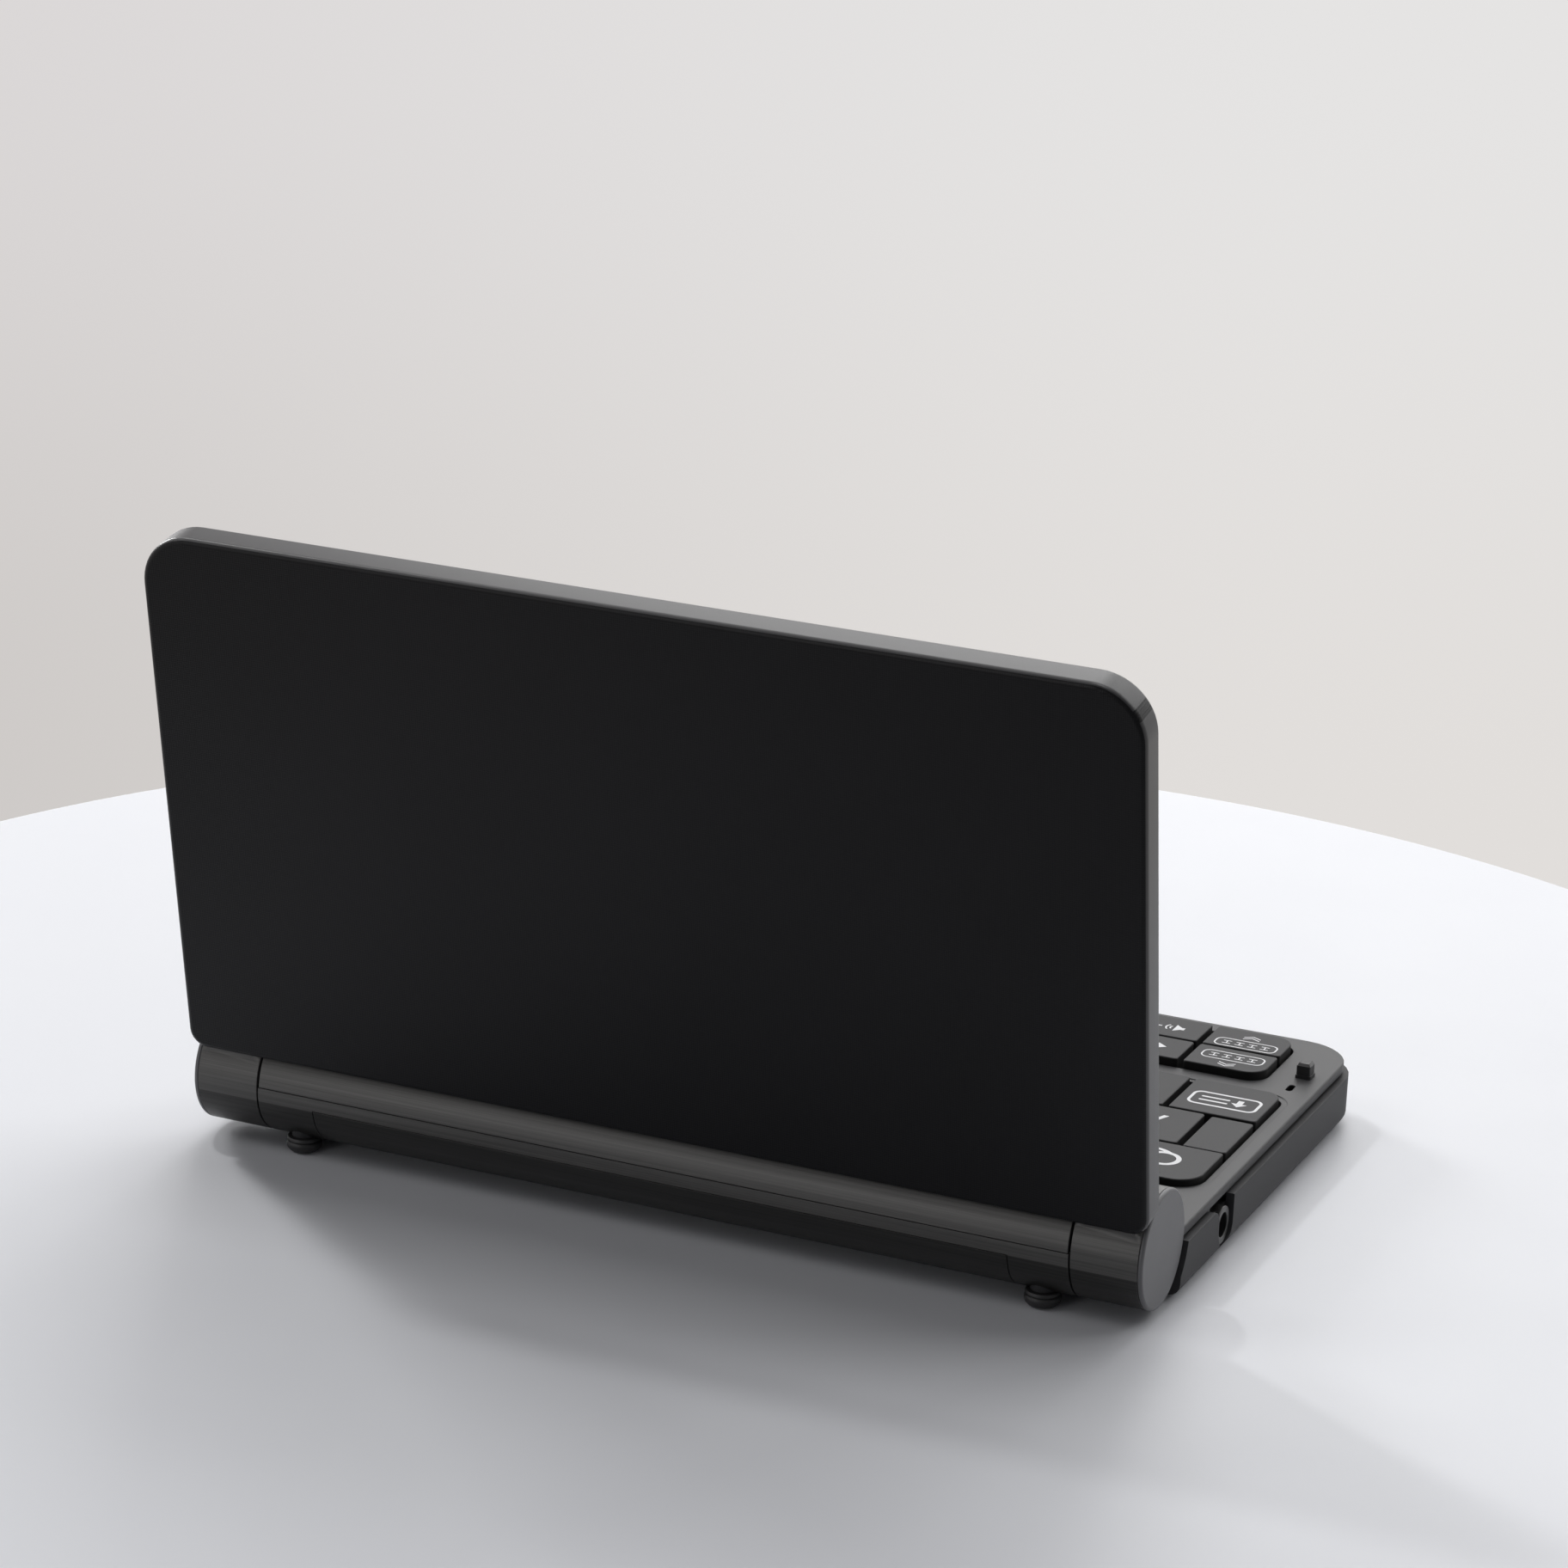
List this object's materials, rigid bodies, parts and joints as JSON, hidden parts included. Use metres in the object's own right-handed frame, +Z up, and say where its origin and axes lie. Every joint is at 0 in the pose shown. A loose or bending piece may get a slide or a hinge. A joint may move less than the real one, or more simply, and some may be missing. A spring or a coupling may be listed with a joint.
{
  "type": "electronic dictionary",
  "caption": "Pocket electronic dictionary: a keyboard base and a screen lid joined by a round hinge barrel that holds the battery cells, shown open.",
  "frame": {"origin": "middle of the bounding box at table height, with the lid open as in the picture", "axes": "+X to the user's right along the hinge, +Y from the user towards the hinge, +Z up"},
  "size_m": [0.148, 0.1112, 0.0961],
  "materials": {
    "deck_grey": "satin painted deck, brushed along the barrel",
    "case_black": "fine moulded texture, satin",
    "lid_black": "fine woven-look moulded texture, matte",
    "bezel_black": "satin black",
    "key_grey": "satin top, black sides, white printed legends",
    "barrel_grey": "painted, finely brushed along the axis",
    "cap_grey": "painted, satin",
    "foot_rubber": "matte",
    "bumper_rubber": "matte",
    "sheet_rubber": "matte silicone",
    "board_green": "solder mask",
    "jack_black": "moulded black",
    "speaker_frame": "moulded frame",
    "cell_wrap": "shrink wrap over steel, filled cell",
    "contact_nickel": "nickel plate",
    "sleeve_brass": "turned",
    "screw_steel": "zinc plate",
    "pin_steel": "ground",
    "window_clear": "polished clear window",
    "display_glass": "grey liquid crystal panel, off"
  },
  "bodies": {
    "base": {"deck_cover": "deck_grey", "bottom_case": "case_black", "blank_keys": "key_grey", "dome_sheet": "sheet_rubber", "main_board": "board_green", "headphone_jack": "jack_black", "speaker": "speaker_frame", "battery_cells": "cell_wrap", "battery_contacts": "contact_nickel", "hinge_sleeves": "sleeve_brass", "case_screws": "screw_steel", "rubber_feet": "foot_rubber", "lid_bumpers": "bumper_rubber"},
    "lid": {"lid_back_cover": "lid_black", "lid_bezel": "bezel_black", "screen_window": "window_clear", "display_module": "display_glass", "knuckles": "barrel_grey", "knuckle_caps": "cap_grey", "hinge_pins": "pin_steel", "lid_screws": "screw_steel"},
    "cell_door": {"battery_cover": "case_black"},
    "cursor_ring": {"cursor_ring": "key_grey"},
    "key_q": {"key_q": "key_grey"},
    "key_w": {"key_w": "key_grey"},
    "key_e": {"key_e": "key_grey"},
    "key_r": {"key_r": "key_grey"},
    "key_t": {"key_t": "key_grey"},
    "key_y": {"key_y": "key_grey"},
    "key_u": {"key_u": "key_grey"},
    "key_i": {"key_i": "key_grey"},
    "key_o": {"key_o": "key_grey"},
    "key_p": {"key_p": "key_grey"},
    "key_a": {"key_a": "key_grey"},
    "key_s": {"key_s": "key_grey"},
    "key_d": {"key_d": "key_grey"},
    "key_f": {"key_f": "key_grey"},
    "key_g": {"key_g": "key_grey"},
    "key_h": {"key_h": "key_grey"},
    "key_j": {"key_j": "key_grey"},
    "key_k": {"key_k": "key_grey"},
    "key_l": {"key_l": "key_grey"},
    "key_shift": {"key_shift": "key_grey"},
    "key_z": {"key_z": "key_grey"},
    "key_x": {"key_x": "key_grey"},
    "key_c": {"key_c": "key_grey"},
    "key_v": {"key_v": "key_grey"},
    "key_b": {"key_b": "key_grey"},
    "key_n": {"key_n": "key_grey"},
    "key_m": {"key_m": "key_grey"},
    "key_delete": {"key_delete": "key_grey"},
    "key_previous": {"key_previous": "key_grey"},
    "key_next": {"key_next": "key_grey"},
    "key_jump": {"key_jump": "key_grey"},
    "key_speaker": {"key_speaker": "key_grey"},
    "key_menu": {"key_menu": "key_grey"},
    "key_back": {"key_back": "key_grey"},
    "key_home": {"key_home": "key_grey"},
    "key_star": {"key_star": "key_grey"},
    "key_enter": {"key_enter": "key_grey"}
  },
  "joints": [
    {"name": "lid_hinge", "type": "hinge", "parent": "base", "child": "lid", "pos_m": [0, 0.03248, 0.00998], "axis": [-1, 0, 0], "range_deg": [-100.2, 49.8]},
    {"name": "battery_cover_pull", "type": "slide", "parent": "base", "child": "cell_door", "axis": [0, 0, -1], "range_m": [0, 0.012]},
    {"name": "cursor_tilt", "type": "hinge", "parent": "base", "child": "cursor_ring", "pos_m": [0.01386, -0.04297, 0.0082], "axis": [0, 1, 0], "range_deg": [-1.5, 1.5], "stiffness_Nm_per_rad": 0.35},
    {"name": "key_q_press", "type": "slide", "parent": "base", "child": "key_q", "axis": [0, 0, -1], "range_m": [0, 0.0006], "stiffness_N_per_m": 600, "springref_m": -0.0004},
    {"name": "key_w_press", "type": "slide", "parent": "base", "child": "key_w", "axis": [0, 0, -1], "range_m": [0, 0.0006], "stiffness_N_per_m": 600, "springref_m": -0.0004},
    {"name": "key_e_press", "type": "slide", "parent": "base", "child": "key_e", "axis": [0, 0, -1], "range_m": [0, 0.0006], "stiffness_N_per_m": 600, "springref_m": -0.0004},
    {"name": "key_r_press", "type": "slide", "parent": "base", "child": "key_r", "axis": [0, 0, -1], "range_m": [0, 0.0006], "stiffness_N_per_m": 600, "springref_m": -0.0004},
    {"name": "key_t_press", "type": "slide", "parent": "base", "child": "key_t", "axis": [0, 0, -1], "range_m": [0, 0.0006], "stiffness_N_per_m": 600, "springref_m": -0.0004},
    {"name": "key_y_press", "type": "slide", "parent": "base", "child": "key_y", "axis": [0, 0, -1], "range_m": [0, 0.0006], "stiffness_N_per_m": 600, "springref_m": -0.0004},
    {"name": "key_u_press", "type": "slide", "parent": "base", "child": "key_u", "axis": [0, 0, -1], "range_m": [0, 0.0006], "stiffness_N_per_m": 600, "springref_m": -0.0004},
    {"name": "key_i_press", "type": "slide", "parent": "base", "child": "key_i", "axis": [0, 0, -1], "range_m": [0, 0.0006], "stiffness_N_per_m": 600, "springref_m": -0.0004},
    {"name": "key_o_press", "type": "slide", "parent": "base", "child": "key_o", "axis": [0, 0, -1], "range_m": [0, 0.0006], "stiffness_N_per_m": 600, "springref_m": -0.0004},
    {"name": "key_p_press", "type": "slide", "parent": "base", "child": "key_p", "axis": [0, 0, -1], "range_m": [0, 0.0006], "stiffness_N_per_m": 600, "springref_m": -0.0004},
    {"name": "key_a_press", "type": "slide", "parent": "base", "child": "key_a", "axis": [0, 0, -1], "range_m": [0, 0.0006], "stiffness_N_per_m": 600, "springref_m": -0.0004},
    {"name": "key_s_press", "type": "slide", "parent": "base", "child": "key_s", "axis": [0, 0, -1], "range_m": [0, 0.0006], "stiffness_N_per_m": 600, "springref_m": -0.0004},
    {"name": "key_d_press", "type": "slide", "parent": "base", "child": "key_d", "axis": [0, 0, -1], "range_m": [0, 0.0006], "stiffness_N_per_m": 600, "springref_m": -0.0004},
    {"name": "key_f_press", "type": "slide", "parent": "base", "child": "key_f", "axis": [0, 0, -1], "range_m": [0, 0.0006], "stiffness_N_per_m": 600, "springref_m": -0.0004},
    {"name": "key_g_press", "type": "slide", "parent": "base", "child": "key_g", "axis": [0, 0, -1], "range_m": [0, 0.0006], "stiffness_N_per_m": 600, "springref_m": -0.0004},
    {"name": "key_h_press", "type": "slide", "parent": "base", "child": "key_h", "axis": [0, 0, -1], "range_m": [0, 0.0006], "stiffness_N_per_m": 600, "springref_m": -0.0004},
    {"name": "key_j_press", "type": "slide", "parent": "base", "child": "key_j", "axis": [0, 0, -1], "range_m": [0, 0.0006], "stiffness_N_per_m": 600, "springref_m": -0.0004},
    {"name": "key_k_press", "type": "slide", "parent": "base", "child": "key_k", "axis": [0, 0, -1], "range_m": [0, 0.0006], "stiffness_N_per_m": 600, "springref_m": -0.0004},
    {"name": "key_l_press", "type": "slide", "parent": "base", "child": "key_l", "axis": [0, 0, -1], "range_m": [0, 0.0006], "stiffness_N_per_m": 600, "springref_m": -0.0004},
    {"name": "key_shift_press", "type": "slide", "parent": "base", "child": "key_shift", "axis": [0, 0, -1], "range_m": [0, 0.0006], "stiffness_N_per_m": 600, "springref_m": -0.0004},
    {"name": "key_z_press", "type": "slide", "parent": "base", "child": "key_z", "axis": [0, 0, -1], "range_m": [0, 0.0006], "stiffness_N_per_m": 600, "springref_m": -0.0004},
    {"name": "key_x_press", "type": "slide", "parent": "base", "child": "key_x", "axis": [0, 0, -1], "range_m": [0, 0.0006], "stiffness_N_per_m": 600, "springref_m": -0.0004},
    {"name": "key_c_press", "type": "slide", "parent": "base", "child": "key_c", "axis": [0, 0, -1], "range_m": [0, 0.0006], "stiffness_N_per_m": 600, "springref_m": -0.0004},
    {"name": "key_v_press", "type": "slide", "parent": "base", "child": "key_v", "axis": [0, 0, -1], "range_m": [0, 0.0006], "stiffness_N_per_m": 600, "springref_m": -0.0004},
    {"name": "key_b_press", "type": "slide", "parent": "base", "child": "key_b", "axis": [0, 0, -1], "range_m": [0, 0.0006], "stiffness_N_per_m": 600, "springref_m": -0.0004},
    {"name": "key_n_press", "type": "slide", "parent": "base", "child": "key_n", "axis": [0, 0, -1], "range_m": [0, 0.0006], "stiffness_N_per_m": 600, "springref_m": -0.0004},
    {"name": "key_m_press", "type": "slide", "parent": "base", "child": "key_m", "axis": [0, 0, -1], "range_m": [0, 0.0006], "stiffness_N_per_m": 600, "springref_m": -0.0004},
    {"name": "key_delete_press", "type": "slide", "parent": "base", "child": "key_delete", "axis": [0, 0, -1], "range_m": [0, 0.0006], "stiffness_N_per_m": 600, "springref_m": -0.0004},
    {"name": "key_previous_press", "type": "slide", "parent": "base", "child": "key_previous", "axis": [0, 0, -1], "range_m": [0, 0.0006], "stiffness_N_per_m": 600, "springref_m": -0.0004},
    {"name": "key_next_press", "type": "slide", "parent": "base", "child": "key_next", "axis": [0, 0, -1], "range_m": [0, 0.0006], "stiffness_N_per_m": 600, "springref_m": -0.0004},
    {"name": "key_jump_press", "type": "slide", "parent": "base", "child": "key_jump", "axis": [0, 0, -1], "range_m": [0, 0.0006], "stiffness_N_per_m": 600, "springref_m": -0.0004},
    {"name": "key_speaker_press", "type": "slide", "parent": "base", "child": "key_speaker", "axis": [0, 0, -1], "range_m": [0, 0.0006], "stiffness_N_per_m": 600, "springref_m": -0.0004},
    {"name": "key_menu_press", "type": "slide", "parent": "base", "child": "key_menu", "axis": [0, 0, -1], "range_m": [0, 0.0006], "stiffness_N_per_m": 600, "springref_m": -0.0004},
    {"name": "key_back_press", "type": "slide", "parent": "base", "child": "key_back", "axis": [0, 0, -1], "range_m": [0, 0.0006], "stiffness_N_per_m": 600, "springref_m": -0.0004},
    {"name": "key_home_press", "type": "slide", "parent": "base", "child": "key_home", "axis": [0, 0, -1], "range_m": [0, 0.0006], "stiffness_N_per_m": 600, "springref_m": -0.0004},
    {"name": "key_star_press", "type": "slide", "parent": "base", "child": "key_star", "axis": [0, 0, -1], "range_m": [0, 0.0006], "stiffness_N_per_m": 600, "springref_m": -0.0004},
    {"name": "key_enter_press", "type": "slide", "parent": "base", "child": "key_enter", "axis": [0, 0, -1], "range_m": [0, 0.0006], "stiffness_N_per_m": 600, "springref_m": -0.0004}
  ]
}
